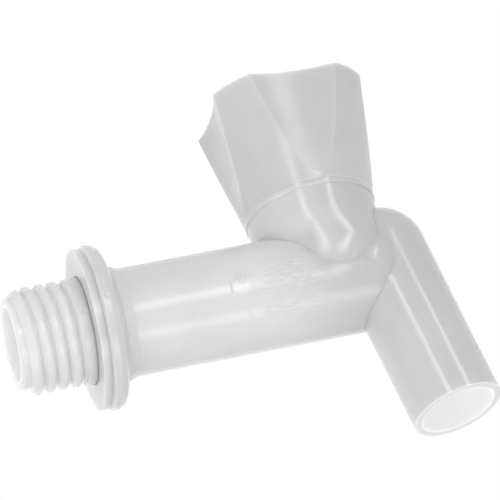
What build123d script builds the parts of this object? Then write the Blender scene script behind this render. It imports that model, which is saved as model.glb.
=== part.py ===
from build123d import *
import os

# Barrel tap in natural polyethylene, with a screw-down valve under a four-winged handle.
# Millimetres. Origin: middle of the flange face that seats on the barrel wall.
# +X runs along the body to the spout, +Z runs up the neck to the handle.

# Body tube and flange
tube_d = 26.0
tube_end_x = 66.0
flange_d = 39.6
flange_t = 4.4
flange_front_edge = 0.8
flange_back_edge = 2.2
flange_back_knee = 0.65
root_d = 32.4
root_knee_d = 28.2
root_knee_l = 1.2
root_l = 3.8

# Threaded inlet spigot in front of the flange
spigot_l = 20.0
thread_d = 25.6
thread_pitch = 3.175
thread_depth = 1.75
thread_turns = 4.86
thread_foot = 0.46
thread_shoulder = 0.37
thread_shoulder_h = 0.62
thread_tip = 0.15
thread_bite = 0.4
thread_nose = 1.37
thread_start_angle = -90.0
thread_lead_from = 0.5
thread_lead_l = 3.1
thread_lead_over = 0.1
nose_chamfer = 0.5
collar_d = 25.8
collar_l = 2.4
washer_seat_d = 25.0
inlet_bore_d = 18.2

# Neck, the upright valve housing
neck_x = 58.0
neck_d = 31.0
neck_top_z = 20.2
neck_bead = 0.35
neck_bead_h = 1.6
neck_wall = 3.2
ball_d = 29.6
ball_offset = 2.6
ball_z = 5.2
ball_blend = 8.0
blend_sections = 4

# Spout, leaning forward from straight down
spout_offset = 14.4
spout_tilt = 9.5
spout_d = 22.2
spout_l = 39.9
spout_root_d = 22.5
spout_hose_l = 24.0
spout_dome_rise = 5.1
spout_bore_d = 18.6
spout_bore_l = 20.0
spout_bore_top_d = 14.8

# Valve seat inside the neck
floor_z = 2.0
floor_t = 3.2
channel_d = 17.0
seat_bore_d = 9.0
seat_lip_w = 1.6
seat_lip_h = 1.2
partition_t = 2.5

# Valve disc that the spindle pushes down, with its rubber washer
lift = 4.0
valve_gap = 0.1
valve_washer_d = 13.4
valve_washer_t = 2.4
disc_d = 16.0
disc_t = 2.2
disc_stem_d = 4.6
disc_stem_l = 4.0
stem_gap = 0.1
pin_d = 2.4
pin_gap = 0.02
button_d = 4.4
button_t = 1.2

# Bonnet that closes the neck and carries the spindle
stop_gap = 0.4
bonnet_gap = 0.05
bonnet_head_gap = 0.4
bonnet_head_t = 1.8
bonnet_hex_w = 17.0
bonnet_hex_h = 3.6
neck_seal_cord_d = 2.0
neck_seal_up = 2.4
seal_squeeze = 0.1

# Spindle and its seal
spindle_d = 7.6
spindle_screw_d = 10.0
spindle_gap = 0.08
spindle_seal_cord_d = 1.8
spindle_seal_down = 1.9
square_w = 5.6
square_l = 12.0
square_gap = 0.05

# Handle
handle_gap = 0.05
handle_rim_d = 31.8
handle_h = 28.9
handle_top_d = 42.6
handle_wall = 1.9
handle_top_t = 3.0
wing_angle = -129.0
wing_count = 4
scoop_r = 45.0
scoop_foot_d = 32.2
scoop_lean = 2.0
hub_d = 13.0
hub_l = 15.0

# Sealing washer
washer_w = 6.15
washer_t = 2.0
washer_gap = 0.2

tube_r = tube_d / 2
neck_r = neck_d / 2
spout_r = spout_d / 2
bonnet_head_r = handle_rim_d / 2 - handle_wall - bonnet_head_gap
chamber_r = neck_r - neck_wall
seat_top_z = floor_z + seat_lip_h
valve_low_z = seat_top_z + valve_gap
disc_low_z = valve_low_z + valve_washer_t
disc_top_z = disc_low_z + disc_t
bonnet_low_z = disc_top_z + lift + stop_gap
bonnet_step_z = neck_top_z + bonnet_head_t
bonnet_top_z = bonnet_step_z + bonnet_hex_h
spindle_low_z = disc_top_z + valve_gap
screw_top_z = neck_top_z - lift - stop_gap
handle_rim_z = neck_top_z + handle_gap
handle_top_z = handle_rim_z + handle_h
cavity_top_z = handle_top_z - handle_top_t
spindle_top_z = cavity_top_z - square_gap
square_low_z = spindle_top_z - square_l
core_r = thread_d / 2 - thread_depth
washer_hole_r = collar_d / 2 + washer_gap


def rod(radius, start, end):
    """Round bar along +X from start to end."""
    return Plane.YZ.offset(start) * extrude(Circle(radius), end - start)


def post(radius, low, high, x=neck_x):
    """Round upright bar from low to high on the neck's axis."""
    return Pos(x, 0, low) * extrude(Circle(radius), high - low)


def ring(outer, inner, low, high):
    """Upright flat ring on the neck's axis."""
    return Pos(neck_x, 0, low) * extrude(Circle(outer) - Circle(inner), high - low)


def o_ring(middle_r, cord_r, z):
    """Seal ring on the neck's axis; its cord's section is an octagon."""
    octagon = RegularPolygon(cord_r, 8, major_radius=False, rotation=22.5)
    section = Plane.XZ * Pos(middle_r, z) * octagon
    return Pos(neck_x, 0, 0) * revolve(section, axis=Axis.Z)


spout_frame = Plane(
    origin=(neck_x + spout_offset, 0, 0),
    x_dir=(0, 1, 0),
    z_dir=Vector(0, 0, -1).rotate(Axis.Y, -spout_tilt),
)


def flange():
    """Flange with eased edges and the hollow root behind it, turned in one profile."""
    outer = flange_d / 2
    root_end = flange_t + root_l
    knee = flange_back_edge * (1 - flange_back_knee)
    with BuildPart() as turned:
        with BuildSketch(Plane.XZ):
            with BuildLine():
                Polyline(
                    (0, 0),
                    (0, outer - flange_front_edge),
                    (flange_front_edge, outer),
                    (flange_t - flange_back_edge, outer),
                    (flange_t - knee, outer - knee),
                    (flange_t, outer - flange_back_edge),
                    (flange_t, root_d / 2),
                    (flange_t + root_knee_l, root_knee_d / 2),
                    (root_end, tube_r),
                    (root_end, 0),
                    (0, 0),
                )
            make_face()
        revolve(axis=Axis.X)
    return turned.part


def thread():
    """Coarse ridge with a rounded back, wound round the spigot's core."""
    base = thread_pitch * thread_foot
    shoulder = thread_pitch * thread_shoulder
    shoulder_h = thread_depth * thread_shoulder_h
    crest = thread_pitch * thread_tip
    path = Helix(
        pitch=thread_pitch, height=thread_turns * thread_pitch, radius=core_r,
        direction=(1, 0, 0),
    )
    section = Plane(origin=path @ 0, x_dir=(0, 0, 1), z_dir=path % 0) * Polygon(
        (-thread_bite, -base), (shoulder_h, -shoulder), (thread_depth, -crest),
        (thread_depth, crest), (shoulder_h, shoulder), (-thread_bite, base), align=None,
    )
    ridge = sweep(section, path=path, is_frenet=True)
    ridge = Pos(-spigot_l + thread_nose, 0, 0) * Rot(thread_start_angle, 0, 0) * ridge
    lead_start = -spigot_l + thread_lead_from
    lead_end = lead_start + thread_lead_l
    lead = loft([
        Plane.YZ.offset(lead_start) * Circle(core_r),
        Plane.YZ.offset(lead_end) * Circle(core_r + thread_depth + thread_lead_over),
    ])
    return ridge & (lead + rod(core_r + thread_depth + thread_lead_over, lead_end, 0))


def spigot():
    """Threaded inlet spigot: core with its thread, collar and washer seat."""
    core = rod(core_r, -spigot_l, 0)
    core = chamfer(core.edges().group_by(Axis.X)[0], nose_chamfer)
    collar = rod(collar_d / 2, -washer_t - collar_l, -washer_t)
    seat = rod(washer_seat_d / 2, -washer_t, 0)
    return core + thread() + collar + seat


def neck():
    """Upright housing that ends below in a ball swelling out of the tube."""
    shaft = post(neck_r, ball_z + ball_blend, neck_top_z)
    bead = post(neck_r + neck_bead, neck_top_z - neck_bead_h, neck_top_z)
    bead = chamfer(bead.edges().group_by(Axis.Z)[0], neck_bead)
    ball_r = ball_d / 2
    sections = []
    for step in range(blend_sections):
        share = step / (blend_sections - 1)
        ease = share * share * (3 - 2 * share)
        level = Plane.XY.offset(ball_z + ball_blend * share)
        centre = Pos(neck_x + ball_offset * (1 - ease), 0)
        sections.append(level * centre * Circle(ball_r + (neck_r - ball_r) * ease))
    blend = loft(sections)
    ball = Pos(neck_x + ball_offset, 0, ball_z) * Sphere(ball_r)
    half = Pos(neck_x + ball_offset, 0, ball_z) * Box(
        ball_d, ball_d, ball_d, align=(Align.CENTER, Align.CENTER, Align.MAX)
    )
    return shaft + bead + blend + (ball & half)


def spout():
    """Leaning spout: domed top, tapered root and straight end for a hose."""
    top = spout_frame.offset(-spout_dome_rise)
    hose_start = spout_frame.offset(spout_l - spout_hose_l)
    root_r = spout_root_d / 2
    root = loft([top * Circle(root_r), hose_start * Circle(spout_r)])
    hose_end = hose_start * extrude(Circle(spout_r), spout_hose_l)
    return root + hose_end + top * Sphere(root_r)


def hollows():
    """Everything that is cored out of the body: inlet, seat, chamber and spout."""
    inlet_r = inlet_bore_d / 2
    channel_end = neck_x + seat_bore_d / 2
    bore_end = neck_x - chamber_r - partition_t
    inlet = rod(inlet_r, -spigot_l, bore_end)
    channel = rod(channel_d / 2, bore_end - 1, channel_end)
    below = Pos(0, 0, floor_z - floor_t) * Box(
        2 * channel_end, tube_d, tube_d, align=(Align.CENTER, Align.CENTER, Align.MAX)
    )
    chamber = post(chamber_r, floor_z, neck_top_z)
    lip = post(seat_bore_d / 2 + seat_lip_w, floor_z, seat_top_z)
    seat_hole = post(seat_bore_d / 2, floor_z - floor_t - 1, seat_top_z)
    mouth = spout_frame.offset(spout_l - spout_bore_l) * extrude(
        Circle(spout_bore_d / 2), spout_bore_l
    )
    taper = loft([
        spout_frame.offset(spout_l - spout_bore_l) * Circle(spout_bore_d / 2),
        spout_frame.offset(-spout_dome_rise) * Circle(spout_bore_top_d / 2),
    ])
    bore_top = spout_frame.offset(-spout_dome_rise) * Sphere(spout_bore_top_d / 2)
    inlets = inlet + (channel & below) + seat_hole
    return inlets + (chamber - lip) + mouth + taper + bore_top


def body():
    """The whole body is one moulding."""
    tube = rod(tube_r, 0, tube_end_x) + Pos(tube_end_x, 0, 0) * Sphere(tube_r)
    return tube + flange() + spigot() + neck() + spout() - hollows()


def sealing_washer():
    """Flat rubber washer against the flange, wide enough to slip over the collar."""
    flat = Circle(washer_hole_r + washer_w) - Circle(washer_hole_r)
    return Plane.YZ.offset(-washer_t) * extrude(flat, washer_t)


def bonnet():
    """Plug that closes the neck, with a hexagon head and the spindle's bore."""
    plug_r = chamber_r - bonnet_gap
    hexagon = RegularPolygon(bonnet_hex_w / 2, 6, major_radius=False)
    solid = post(plug_r, bonnet_low_z, neck_top_z)
    solid += post(bonnet_head_r, neck_top_z, bonnet_step_z)
    solid += Pos(neck_x, 0, bonnet_step_z) * extrude(hexagon, bonnet_hex_h)
    groove_floor = chamber_r - neck_seal_cord_d
    solid -= seal_groove(chamber_r, groove_floor, neck_seal_z, neck_seal_cord_d)
    bore_r = spindle_d / 2 + spindle_gap
    solid -= post(spindle_screw_d / 2 + spindle_gap, bonnet_low_z, neck_top_z)
    solid -= post(bore_r, neck_top_z, bonnet_top_z)
    groove_floor = bore_r + spindle_seal_cord_d
    return solid - seal_groove(
        groove_floor, spindle_d / 2, spindle_seal_z, spindle_seal_cord_d
    )


def seal_groove(outer, inner, z, cord_d):
    """Square groove, a little taller than the cord that lies in it."""
    half = cord_d / 2 + seal_squeeze
    return ring(outer, inner, z - half, z + half)


neck_seal_z = bonnet_low_z + neck_seal_up
spindle_seal_z = bonnet_top_z - spindle_seal_down


def neck_seal():
    """O-ring in the bonnet's groove, against the neck's bore."""
    return o_ring(
        chamber_r - neck_seal_cord_d / 2, neck_seal_cord_d / 2 - bonnet_gap, neck_seal_z
    )


def spindle_seal():
    """O-ring inside the bonnet's head, round the spindle."""
    cord_r = spindle_seal_cord_d / 2
    return o_ring(spindle_d / 2 + spindle_gap + cord_r, cord_r - bonnet_gap, spindle_seal_z)


def spindle():
    """Turned spindle: foot socket, screw, plain shaft and a square for the handle."""
    solid = post(spindle_screw_d / 2, spindle_low_z, screw_top_z)
    solid += post(spindle_d / 2, screw_top_z, square_low_z)
    square = Rectangle(square_w, square_w)
    solid += Pos(neck_x, 0, square_low_z) * extrude(square, square_l)
    socket_top_z = disc_top_z + disc_stem_l + stem_gap
    return solid - post(disc_stem_d / 2 + stem_gap, spindle_low_z, socket_top_z)


def valve_disc():
    """Disc with a stem above, loose in the spindle's foot, and a pin below."""
    disc = post(disc_d / 2, disc_low_z, disc_top_z)
    stem = post(disc_stem_d / 2, disc_top_z, disc_top_z + disc_stem_l)
    return disc + stem + post(pin_d / 2, valve_low_z, disc_low_z)


def valve_washer():
    """Rubber washer under the disc, which closes on the seat."""
    return ring(valve_washer_d / 2, pin_d / 2 + pin_gap, valve_low_z, disc_low_z)


def washer_button():
    """Small button on the pin that holds the rubber washer on the disc."""
    return post(button_d / 2, valve_low_z - button_t, valve_low_z)


def handle():
    """Hollow winged handle: a flared skirt with scoops between its wings, and a hub."""
    rim_r = handle_rim_d / 2
    skirt = Pos(neck_x, 0, handle_rim_z + handle_h / 2) * Cone(
        rim_r, handle_top_d / 2, handle_h
    )
    scoop = Pos(scoop_foot_d / 2, 0, handle_rim_z) * Rot(0, scoop_lean, 0) * Pos(
        scoop_r, 0, 0
    ) * extrude(Circle(scoop_r), 2 * handle_h, both=True)
    for index in range(wing_count):
        turn = wing_angle + 360 / wing_count * (index + 0.5)
        skirt -= Pos(neck_x, 0, 0) * Rot(0, 0, turn) * scoop
    skirt -= post(rim_r - handle_wall, handle_rim_z, cavity_top_z)
    skirt += post(hub_d / 2, cavity_top_z - hub_l, cavity_top_z)
    side = square_w + 2 * square_gap
    skirt -= Pos(neck_x, 0, square_low_z) * extrude(
        Rectangle(side, side), square_l + square_gap
    )
    return skirt - post(spindle_d / 2 + spindle_gap, cavity_top_z - hub_l, square_low_z)


pieces = {
    "body": body,
    "sealing_washer": sealing_washer,
    "bonnet": bonnet,
    "neck_seal": neck_seal,
    "spindle_seal": spindle_seal,
    "spindle": spindle,
    "valve_disc": valve_disc,
    "valve_washer": valve_washer,
    "washer_button": washer_button,
    "handle": handle,
}

os.makedirs("parts", exist_ok=True)
for name, make in pieces.items():
    export_step(make(), f"parts/{name}.step")
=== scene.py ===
import math
import bmesh
import bpy
from mathutils import Matrix, Vector

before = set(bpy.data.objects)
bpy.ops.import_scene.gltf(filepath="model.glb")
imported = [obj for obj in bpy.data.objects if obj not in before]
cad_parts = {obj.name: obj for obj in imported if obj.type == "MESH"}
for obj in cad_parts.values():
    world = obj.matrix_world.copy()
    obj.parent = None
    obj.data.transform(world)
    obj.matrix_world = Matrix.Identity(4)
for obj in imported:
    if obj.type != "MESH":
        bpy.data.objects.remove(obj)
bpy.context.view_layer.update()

# Body: one moulding of natural polyethylene, with the threaded inlet, flange, tube, neck
# and spout. The plastic is milky and lets light through its walls. It is satin from the
# mould, and scuffed where it was handled.


def grey(level):
    """An opaque grey, as a linear colour."""
    return (level, level, level, 1.0)


milky_white = grey(0.81)
milky_shade = grey(0.77)
# The next grey is painted shade for the spout, neck and flange.
painted_shade_grey = grey(0.635)
# The next grey is the paler paint of the gate, the witness line and the scuff strokes.
pale_marks_white = grey(0.93)
speck_grey = grey(0.25)
cloud_middle = (0.35, 0.65)
skin_relief = 0.12
skin_grain_depth = 0.00005
polyethylene_ior = 1.5
even_depth = (1.0, 1.0, 1.0)
body_depth = 0.003


def add_sockets(group, inputs, outputs):
    """Named inputs with their values, and named outputs, on a shader node group."""
    for label, kind, value in inputs:
        socket = group.interface.new_socket(name=label, in_out="INPUT", socket_type=kind)
        socket.default_value = value
    for label, kind in outputs:
        group.interface.new_socket(name=label, in_out="OUTPUT", socket_type=kind)
    return group.nodes.new("NodeGroupInput"), group.nodes.new("NodeGroupOutput")


def spread(tree, source, low, high, to_low=0.0, to_high=1.0):
    """Map a value smoothly from low..high to to_low..to_high, held at the ends."""
    node = tree.nodes.new("ShaderNodeMapRange")
    node.interpolation_type = "SMOOTHSTEP"
    node.inputs["From Min"].default_value = low
    node.inputs["From Max"].default_value = high
    node.inputs["To Min"].default_value = to_low
    node.inputs["To Max"].default_value = to_high
    tree.links.new(source, node.inputs["Value"])
    return node.outputs["Result"]


def math_node(tree, operation, first, second):
    """A Math node whose inputs are sockets or plain numbers."""
    node = tree.nodes.new("ShaderNodeMath")
    node.operation = operation
    for index, value in enumerate((first, second)):
        if isinstance(value, (int, float)):
            node.inputs[index].default_value = value
        else:
            tree.links.new(value, node.inputs[index])
    return node.outputs[0]


def moulded_skin_group():
    """Colour, roughness and height of a satin moulded skin, from Object coordinates."""
    group = bpy.data.node_groups.new("moulded_skin", "ShaderNodeTree")
    given, out = add_sockets(
        group,
        (
            ("Light Colour", "NodeSocketColor", milky_white),
            ("Dark Colour", "NodeSocketColor", milky_shade),
            ("Cloud Scale", "NodeSocketFloat", 55.0),
            ("Grain Scale", "NodeSocketFloat", 900.0),
            ("Smooth Roughness", "NodeSocketFloat", 0.14),
            ("Rough Roughness", "NodeSocketFloat", 0.18),
        ),
        (
            ("Colour", "NodeSocketColor"),
            ("Roughness", "NodeSocketFloat"),
            ("Height", "NodeSocketFloat"),
        ),
    )
    nodes, links = group.nodes, group.links
    place = nodes.new("ShaderNodeTexCoord")
    clouds = nodes.new("ShaderNodeTexNoise")
    clouds.inputs["Detail"].default_value = 3.0
    grain = nodes.new("ShaderNodeTexNoise")
    grain.inputs["Detail"].default_value = 4.0
    for noise, scale in ((clouds, "Cloud Scale"), (grain, "Grain Scale")):
        links.new(place.outputs["Object"], noise.inputs["Vector"])
        links.new(given.outputs[scale], noise.inputs["Scale"])
    tint = nodes.new("ShaderNodeMix")
    tint.data_type = "RGBA"
    links.new(spread(group, clouds.outputs["Fac"], *cloud_middle), tint.inputs["Factor"])
    links.new(given.outputs["Light Colour"], tint.inputs["A"])
    links.new(given.outputs["Dark Colour"], tint.inputs["B"])
    links.new(tint.outputs["Result"], out.inputs["Colour"])
    dull = nodes.new("ShaderNodeMapRange")
    dull.inputs["From Min"].default_value, dull.inputs["From Max"].default_value = cloud_middle
    links.new(clouds.outputs["Fac"], dull.inputs["Value"])
    links.new(given.outputs["Smooth Roughness"], dull.inputs["To Min"])
    links.new(given.outputs["Rough Roughness"], dull.inputs["To Max"])
    links.new(dull.outputs["Result"], out.inputs["Roughness"])
    links.new(grain.outputs["Fac"], out.inputs["Height"])
    return group


def vector_node(tree, operation, first, second):
    """A Vector Math node of a socket with a plain vector."""
    node = tree.nodes.new("ShaderNodeVectorMath")
    node.operation = operation
    tree.links.new(first, node.inputs[0])
    node.inputs[1].default_value = second
    return node


def length_of(tree, vector):
    """The length of a vector socket."""
    node = tree.nodes.new("ShaderNodeVectorMath")
    node.operation = "LENGTH"
    tree.links.new(vector, node.inputs[0])
    return node.outputs["Value"]


def patch_mask(tree, place, centre, reach, edge):
    """1 inside an ellipsoid patch round a point, falling to 0 at its reach. Metres."""
    away = vector_node(tree, "SUBTRACT", place, centre).outputs[0]
    share = vector_node(tree, "DIVIDE", away, reach).outputs[0]
    return spread(tree, length_of(tree, share), edge, 1.0, 1.0, 0.0)


def plastic(name, light, dark, depth, clear=1.0):
    """Satin plastic that lets light this deep into it, with its skin, bump and shader."""
    material = bpy.data.materials.new(name)
    material.use_nodes = True
    tree = material.node_tree
    shader = tree.nodes["Principled BSDF"]
    skin = tree.nodes.new("ShaderNodeGroup")
    skin.node_tree = moulded_skin
    skin.inputs["Light Colour"].default_value = light
    skin.inputs["Dark Colour"].default_value = dark
    tree.links.new(skin.outputs["Colour"], shader.inputs["Base Color"])
    tree.links.new(skin.outputs["Roughness"], shader.inputs["Roughness"])
    bump = tree.nodes.new("ShaderNodeBump")
    bump.inputs["Strength"].default_value = skin_relief
    bump.inputs["Distance"].default_value = skin_grain_depth
    tree.links.new(skin.outputs["Height"], bump.inputs["Height"])
    tree.links.new(bump.outputs["Normal"], shader.inputs["Normal"])
    shader.inputs["IOR"].default_value = polyethylene_ior
    shader.inputs["Subsurface Weight"].default_value = clear
    shader.inputs["Subsurface Radius"].default_value = even_depth
    shader.inputs["Subsurface Scale"].default_value = depth
    return material, skin, bump, shader


def use(node_name, material):
    """Give a CAD node this material in place of its own."""
    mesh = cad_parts[node_name].data
    mesh.materials.clear()
    mesh.materials.append(material)


moulded_skin = moulded_skin_group()
body_plastic, body_skin, body_bump, body_shader = plastic(
    "natural_polyethylene_body", milky_white, milky_shade, body_depth
)
use("body", body_plastic)


def bore_mask(tree, place, start, direction, radius, edge):
    """1 inside a bore's radius round its axis, falling to 0 over the edge. Metres."""
    from_start = vector_node(tree, "SUBTRACT", place, start).outputs[0]
    across = vector_node(tree, "CROSS_PRODUCT", from_start, direction).outputs[0]
    return spread(tree, length_of(tree, across), radius, radius + edge, 1.0, 0.0)


# Where a painted glow stands in for light that comes through the walls, in metres. A pair is
# where a mask starts and ends: along x for the inlet, thread and seam, along z for the top of
# the spout's bore, and down the spout's own line for its lip. A share is how bright a place is
# beside the spout's bore.
inlet_start = (0.0, 0.0, 0.0)
inlet_line = (1.0, 0.0, 0.0)
inlet_bore_r = 0.0093
inlet_bore_edge = 0.0006
inlet_bore_end = (0.040, 0.044)
inlet_share = 0.4
spout_start = (0.0724, 0.0, 0.0)
spout_line = (0.165048, 0.0, -0.986286)
spout_bore_r = 0.00935
spout_bore_edge = 0.0002
spout_bore_top = (-0.006, -0.002)
spout_lip = (0.0395, 0.0398)
spout_lip_share = 0.5
root_r = 0.0112
root_edge = 0.0012
thread_end = (-0.0035, -0.0030)
thread_nose = (-0.0188, -0.0170)
root_share = 0.28
seam_front = (-0.0006, -0.0002)
seam_back = (0.0002, 0.0010)
seam_share = 0.30
# How strong the painted glow is.
painted_glow_amount = 0.30


def painted_wall_glow_group():
    """Painted glow, as emission, that stands in for light through the thin walls: in the open
    bores, at the spout's lip, in the thread's roots and in the seam between flange and washer."""
    group = bpy.data.node_groups.new("painted_wall_glow", "ShaderNodeTree")
    given, out = add_sockets(
        group,
        (("Amount", "NodeSocketFloat", painted_glow_amount),),
        (("Light", "NodeSocketFloat"),),
    )
    place = group.nodes.new("ShaderNodeTexCoord").outputs["Object"]
    apart = group.nodes.new("ShaderNodeSeparateXYZ")
    group.links.new(place, apart.inputs[0])
    along_x, along_z = apart.outputs["X"], apart.outputs["Z"]

    def times(first, second):
        return math_node(group, "MULTIPLY", first, second)

    inlet = bore_mask(group, place, inlet_start, inlet_line, inlet_bore_r, inlet_bore_edge)
    inlet = times(times(inlet, spread(group, along_x, *inlet_bore_end, 1.0, 0.0)), inlet_share)

    spout = bore_mask(group, place, spout_start, spout_line, spout_bore_r, spout_bore_edge)
    spout = times(spout, spread(group, along_z, *spout_bore_top, 1.0, 0.0))
    from_start = vector_node(group, "SUBTRACT", place, spout_start).outputs[0]
    down_spout = vector_node(group, "DOT_PRODUCT", from_start, spout_line).outputs["Value"]
    lip = spread(group, down_spout, *spout_lip, 0.0, spout_lip_share)

    roots = bore_mask(group, place, inlet_start, inlet_line, root_r, root_edge)
    roots = times(roots, spread(group, along_x, *thread_end, root_share, 0.0))
    roots = times(roots, spread(group, along_x, *thread_nose))
    seam = times(
        spread(group, along_x, *seam_back, seam_share, 0.0),
        spread(group, along_x, *seam_front),
    )

    light = inlet
    for mask in (spout, lip, roots, seam):
        light = math_node(group, "MAXIMUM", light, mask)
    group.links.new(times(light, given.outputs["Amount"]), out.inputs["Light"])
    return group


# The painted glow goes into the body's emission.
painted_wall_glow = body_plastic.node_tree.nodes.new("ShaderNodeGroup")
painted_wall_glow.node_tree = painted_wall_glow_group()
body_plastic.node_tree.links.new(
    painted_wall_glow.outputs["Light"], body_shader.inputs["Emission Color"]
)
body_shader.inputs["Emission Strength"].default_value = 1.0

noise_detail = 2.0
noise_bend = 0.8


def stretched_noise(tree, place, stretch, scale, low, high):
    """Noise on coordinates stretched along the axes, cut to 0..1 between two levels."""
    stretched = vector_node(tree, "MULTIPLY", place, stretch).outputs[0]
    noise = tree.nodes.new("ShaderNodeTexNoise")
    noise.inputs["Scale"].default_value = scale
    noise.inputs["Detail"].default_value = noise_detail
    noise.inputs["Distortion"].default_value = noise_bend
    tree.links.new(stretched, noise.inputs["Vector"])
    return spread(tree, noise.outputs["Fac"], low, high)


def sum_of(tree, parts):
    """Sum of (socket, weight) pairs. A weight is a plain number or a socket."""
    total = 0.0
    for socket, weight in parts:
        total = math_node(tree, "ADD", math_node(tree, "MULTIPLY", socket, weight), total)
    return total


# How the textures are stretched along x, y and z, how soft the edges of the patches are,
# and where the painted shade on spout, neck and flange lies and where specks end, as pairs
# in metres along z for the neck and along x for the rest.
along_tube = (0.25, 1.0, 1.0)
half_along_tube = (0.5, 1.0, 1.0)
upright = (1.0, 0.2, 0.2)
unstretched = (1.0, 1.0, 1.0)
soft_edge = 0.3
firm_edge = 0.4
disc_edge = 0.5
marks_depth = 0.0004
painted_shade_spout_from = (0.038, 0.070)
painted_shade_neck_from = (0.004, 0.014)
painted_shade_neck_share = 0.55
flange_back = (0.003, 0.006)
flange_front = (-0.003, -0.001)
flange_share = 0.5
specks_end = (-0.004, -0.003)


def body_marks_group():
    """Marks of moulding and handling on the body, as height, dullness and shades, and painted
    shade on the spout, neck and flange. Each patch is a centre and a reach in metres."""
    group = bpy.data.node_groups.new("body_marks", "ShaderNodeTree")
    given, out = add_sockets(
        group,
        (("Amount", "NodeSocketFloat", 1.0),),
        (
            ("Height", "NodeSocketFloat"),
            ("Dullness", "NodeSocketFloat"),
            ("Painted Shade", "NodeSocketFloat"),
            ("Pale", "NodeSocketFloat"),
            ("Dark", "NodeSocketFloat"),
        ),
    )
    place = group.nodes.new("ShaderNodeTexCoord").outputs["Object"]
    apart = group.nodes.new("ShaderNodeSeparateXYZ")
    group.links.new(place, apart.inputs[0])
    along_x, along_z = apart.outputs["X"], apart.outputs["Z"]

    def texture(stretch, scale, low, high):
        return stretched_noise(group, place, stretch, scale, low, high)

    def patch(centre, reach, edge=soft_edge):
        return patch_mask(group, place, centre, reach, edge)

    def times(first, second):
        return math_node(group, "MULTIPLY", first, second)

    def larger(first, second):
        return math_node(group, "MAXIMUM", first, second)

    def put(name, parts):
        group.links.new(sum_of(group, parts), out.inputs[name])

    # Textures: strokes along the tube, upright wrinkles, stipple, slow waves and dots.
    strokes = texture(along_tube, scale=1800.0, low=0.40, high=0.66)
    wrinkles = texture(upright, scale=1900.0, low=0.44, high=0.60)
    stipple = texture(unstretched, scale=3200.0, low=0.40, high=0.60)
    waves = texture(half_along_tube, scale=420.0, low=0.35, high=0.65)
    dots = texture(unstretched, scale=900.0, low=0.74, high=0.78)

    # Places: two scuffs, the gate with its wrinkles, the witness line, the neck's foot.
    scuffs = larger(
        patch((0.0456, -0.0128, -0.0018), (0.0085, 0.007, 0.0062)),
        patch((0.0432, -0.0088, -0.0096), (0.0062, 0.004, 0.0040)),
    )
    gate = patch((0.0345, -0.01263, -0.00303), (0.0023, 0.0023, 0.0023), disc_edge)
    gate_wrinkles = patch((0.0350, -0.0128, -0.0007), (0.0030, 0.002, 0.0020))
    gate_line = patch((0.0322, -0.0127, -0.0026), (0.00035, 0.003, 0.0024))
    witness = patch((0.0352, -0.0092, -0.0092), (0.00035, 0.004, 0.0034))
    neck_foot = larger(
        patch((0.0534, -0.0133, 0.0050), (0.0026, 0.004, 0.0060)),
        patch((0.0560, -0.0129, -0.0012), (0.0050, 0.003, 0.0026)),
    )
    neck_foot = larger(
        neck_foot, patch((0.0640, -0.0125, -0.0026), (0.005, 0.003, 0.003))
    )
    handled = patch((0.0475, -0.0120, -0.0045), (0.0120, 0.014, 0.0140), firm_edge)
    dimple = patch((0.00174, -0.0197, -0.00185), (0.0010, 0.0010, 0.0010))
    # Where painted shade falls: the tube's right end and the spout, the neck, the flange.
    painted_shade_spout = spread(group, along_x, *painted_shade_spout_from)
    painted_shade_neck = spread(group, along_z, *painted_shade_neck_from, 0.0, painted_shade_neck_share)
    flange = times(
        spread(group, along_x, *flange_back, flange_share, 0.0),
        spread(group, along_x, *flange_front),
    )
    specks = times(dots, spread(group, along_x, *specks_end, 1.0, 0.0))

    scuff_strokes = times(strokes, scuffs)
    height = sum_of(
        group,
        (
            (scuff_strokes, 0.34),
            (times(waves, handled), 0.30),
            (times(wrinkles, gate_wrinkles), 0.45),
            (times(stipple, neck_foot), 0.18),
            (gate, 0.05),
            (witness, 0.3),
            (gate_line, -0.2),
            (dimple, -0.6),
        ),
    )
    put("Height", ((height, given.outputs["Amount"]),))
    put("Dullness", ((handled, 0.07), (gate, -0.05)))
    # Painted shade: the tube's right end and the spout, the neck and the flange are painted
    # darker.
    put("Painted Shade", ((larger(painted_shade_spout, larger(painted_shade_neck, flange)), 1.0),))
    # The gate, the witness line and the scuff strokes are painted paler than the skin.
    put("Pale", ((gate, 0.45), (witness, 0.4), (scuff_strokes, 0.35)))
    # The line by the gate is a groove, painted a little darker as shade in it.
    put("Dark", ((specks, 0.6), (gate_line, 0.15)))
    return group


body_tree = body_plastic.node_tree
marks = body_tree.nodes.new("ShaderNodeGroup")
marks.node_tree = body_marks_group()
# The marks mix into the skin's colour: painted shade, then the pale marks, then the dark ones.
colour = body_skin.outputs["Colour"]
for mark, shade in (
    ("Painted Shade", painted_shade_grey),
    ("Pale", pale_marks_white),
    ("Dark", speck_grey),
):
    mix = body_tree.nodes.new("ShaderNodeMix")
    mix.data_type = "RGBA"
    body_tree.links.new(marks.outputs[mark], mix.inputs["Factor"])
    body_tree.links.new(colour, mix.inputs["A"])
    mix.inputs["B"].default_value = shade
    colour = mix.outputs["Result"]
body_tree.links.new(colour, body_shader.inputs["Base Color"])
body_tree.links.new(
    math_node(body_tree, "ADD", body_skin.outputs["Roughness"], marks.outputs["Dullness"]),
    body_shader.inputs["Roughness"],
)
marks_bump = body_tree.nodes.new("ShaderNodeBump")
marks_bump.inputs["Distance"].default_value = marks_depth
body_tree.links.new(marks.outputs["Height"], marks_bump.inputs["Height"])
body_tree.links.new(body_bump.outputs["Normal"], marks_bump.inputs["Normal"])
body_tree.links.new(marks_bump.outputs["Normal"], body_shader.inputs["Normal"])

# Sealing washer: a flat ring of soft white elastomer, pushed over the spigot and
# pinched between the flange and the barrel.

soft_depth = 0.004

washer_rubber = plastic("white_elastomer", grey(0.70), grey(0.64), soft_depth)[0]
use("sealing_washer", washer_rubber)

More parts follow.
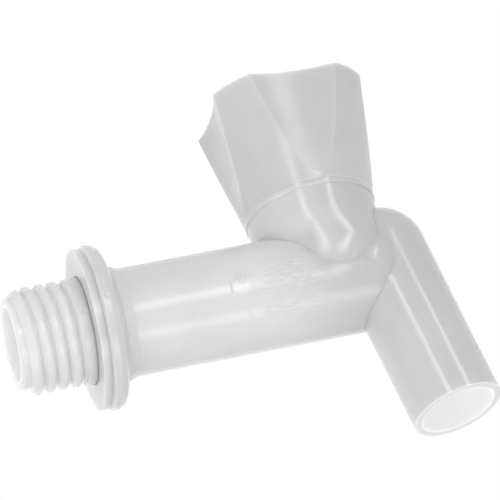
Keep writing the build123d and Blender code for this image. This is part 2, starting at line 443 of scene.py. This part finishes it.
# Bonnet with its spindle, seals and valve: moulded parts and rubber rings that sit under
# the handle and in the neck, out of sight unless the tap is taken apart.

hard_depth = 0.001
hard_white = (0.74, 0.74, 0.72, 1.0)
hard_shade = (0.69, 0.69, 0.67, 1.0)

bonnet_plastic = plastic("natural_polyethylene_bonnet", grey(0.77), grey(0.72), soft_depth)[0]
hard_plastic = plastic("hard_white_plastic", hard_white, hard_shade, hard_depth)[0]
black_rubber = plastic("black_rubber", grey(0.03), grey(0.02), soft_depth, clear=0.0)[0]
for name, material in (
    ("bonnet", bonnet_plastic),
    ("neck_seal", black_rubber),
    ("spindle_seal", black_rubber),
    ("valve_washer", black_rubber),
    ("spindle", hard_plastic),
    ("valve_disc", hard_plastic),
    ("washer_button", hard_plastic),
):
    use(name, material)

# Handle: a hollow cap with four wings and four scoops, moulded in the same polyethylene
# and pressed on the spindle's square. It is a little duller than the body, and painted a
# darker grey than the body as shade. A faint glow at its rim stands in for light that comes
# through the plastic.

handle_depth = 0.002
handle_roughness = (0.22, 0.25)
rim_height = (0.0203, 0.0205)
rim_glow = 0.18

# The handle's darker grey is painted shade.
handle_plastic, handle_skin, _, handle_shader = plastic(
    "natural_polyethylene_handle", grey(0.67), grey(0.63), handle_depth
)
use("handle", handle_plastic)
handle_skin.inputs["Smooth Roughness"].default_value = handle_roughness[0]
handle_skin.inputs["Rough Roughness"].default_value = handle_roughness[1]

handle_tree = handle_plastic.node_tree
handle_place = handle_tree.nodes.new("ShaderNodeTexCoord").outputs["Object"]
handle_apart = handle_tree.nodes.new("ShaderNodeSeparateXYZ")
handle_tree.links.new(handle_place, handle_apart.inputs[0])
rim_light = spread(handle_tree, handle_apart.outputs["Z"], *rim_height, rim_glow, 0.0)
handle_tree.links.new(rim_light, handle_shader.inputs["Emission Color"])
handle_shader.inputs["Emission Strength"].default_value = 1.0

# Studio: a plain pale floor well below the tap, a white surround that fills evenly and a
# little more from the left, from below and from behind, and five soft lamps. Their strips
# give the photo's long highlights on tube, neck and spout.

floor_half = 6.0
floor_z = -1.2
floor_grey = grey(0.8)
floor_roughness = 0.9

floor_shape = bmesh.new()
bmesh.ops.create_grid(
    floor_shape,
    x_segments=1,
    y_segments=1,
    size=floor_half,
    matrix=Matrix.Translation((0.0, 0.0, floor_z)),
)
floor_mesh = bpy.data.meshes.new("floor")
floor_shape.to_mesh(floor_mesh)
floor_shape.free()
floor = bpy.data.objects.new("floor", floor_mesh)
bpy.context.scene.collection.objects.link(floor)
floor_paint = bpy.data.materials.new("pale_floor")
floor_paint.use_nodes = True
floor_shader = floor_paint.node_tree.nodes["Principled BSDF"]
floor_shader.inputs["Base Color"].default_value = floor_grey
floor_shader.inputs["Roughness"].default_value = floor_roughness
floor_mesh.materials.append(floor_paint)

camera_right = Vector((0.9665, -0.0672, -0.2478))
camera_up = Vector((0.1851, -0.4865, 0.8539))
camera_back = Vector((-0.1779, -0.8711, -0.4577))
world_back = Vector((0.0, 1.0, 0.0))

# The surround's light from all sides, and what each direction adds to it.
even_fill = 0.36
side_fills = (
    (-camera_right, 0.45),
    (-camera_back, 0.5),
    (-camera_up, 0.35),
    (world_back, 0.3),
)

world = bpy.data.worlds.new("studio")
bpy.context.scene.world = world
world.use_nodes = True
tree = world.node_tree
nodes, links = tree.nodes, tree.links
nodes.clear()
rays = nodes.new("ShaderNodeLightPath")
seen = math_node(
    tree, "MAXIMUM", rays.outputs["Is Camera Ray"], rays.outputs["Is Glossy Ray"]
)
seen = math_node(tree, "MAXIMUM", seen, rays.outputs["Is Transmission Ray"])
white = nodes.new("ShaderNodeBackground")
white.inputs["Color"].default_value = grey(1.0)
white.inputs["Strength"].default_value = 1.0
fill = nodes.new("ShaderNodeBackground")
fill.inputs["Color"].default_value = grey(1.0)
direction = nodes.new("ShaderNodeTexCoord").outputs["Generated"]
strength = even_fill
for side, amount in side_fills:
    towards = vector_node(tree, "DOT_PRODUCT", direction, side).outputs["Value"]
    lit = math_node(tree, "MAXIMUM", towards, 0.0)
    strength = math_node(tree, "ADD", strength, math_node(tree, "MULTIPLY", lit, amount))
links.new(strength, fill.inputs["Strength"])
pick = nodes.new("ShaderNodeMixShader")
links.new(seen, pick.inputs[0])
links.new(fill.outputs[0], pick.inputs[1])
links.new(white.outputs[0], pick.inputs[2])
world_out = nodes.new("ShaderNodeOutputWorld")
links.new(pick.outputs[0], world_out.inputs["Surface"])

tap_middle = Vector((0.045, 0.0, 0.0))
lamp_distance = 1.3


def soft_lamp(name, yaw, pitch, width, height, radiance, roll=0.0):
    """Area lamp that stands off the camera's line by yaw and pitch and faces the tap."""
    yaw, pitch = math.radians(yaw), math.radians(pitch)
    ray = (
        camera_back * math.cos(pitch) * math.cos(yaw)
        + camera_right * math.cos(pitch) * math.sin(yaw)
        + camera_up * math.sin(pitch)
    )
    data = bpy.data.lights.new(name, "AREA")
    data.shape = "RECTANGLE"
    data.size, data.size_y = width, height
    data.energy = radiance * math.pi * width * height
    lamp = bpy.data.objects.new(name, data)
    lamp.location = tap_middle + ray * lamp_distance
    turn = Matrix.Rotation(math.radians(roll), 3, "Z")
    lamp.rotation_euler = (ray.to_track_quat("Z", "Y").to_matrix() @ turn).to_euler()
    bpy.context.scene.collection.objects.link(lamp)


soft_lamp("left_strip", yaw=-21, pitch=37, width=0.20, height=0.72, radiance=4.6)
soft_lamp("right_strip", yaw=32, pitch=46, width=0.15, height=0.90, radiance=5.5, roll=-38)
soft_lamp("front_strip", yaw=16, pitch=31, width=0.44, height=0.40, radiance=2.5)
soft_lamp("low_strip", yaw=29, pitch=-30, width=0.50, height=0.62, radiance=2.0)
soft_lamp("under_fill", yaw=-35, pitch=-42, width=1.0, height=0.8, radiance=1.4)

# Camera: looks up at the tap from below and in front, through a very long lens, so that
# the picture has hardly any perspective. Its place was solved from the photo.

camera_place = (-0.33907, -1.86365, -0.96639)

camera_data = bpy.data.cameras.new("camera")
camera_data.lens = 648.0
camera_data.sensor_width = 36.0
camera_data.clip_end = 20.0
camera = bpy.data.objects.new("camera", camera_data)
axes = Matrix((camera_right, camera_up, camera_back)).transposed()
camera.matrix_world = Matrix.Translation(camera_place) @ axes.to_4x4()
bpy.context.scene.collection.objects.link(camera)
bpy.context.scene.camera = camera
bpy.context.scene.view_settings.view_transform = "Standard"
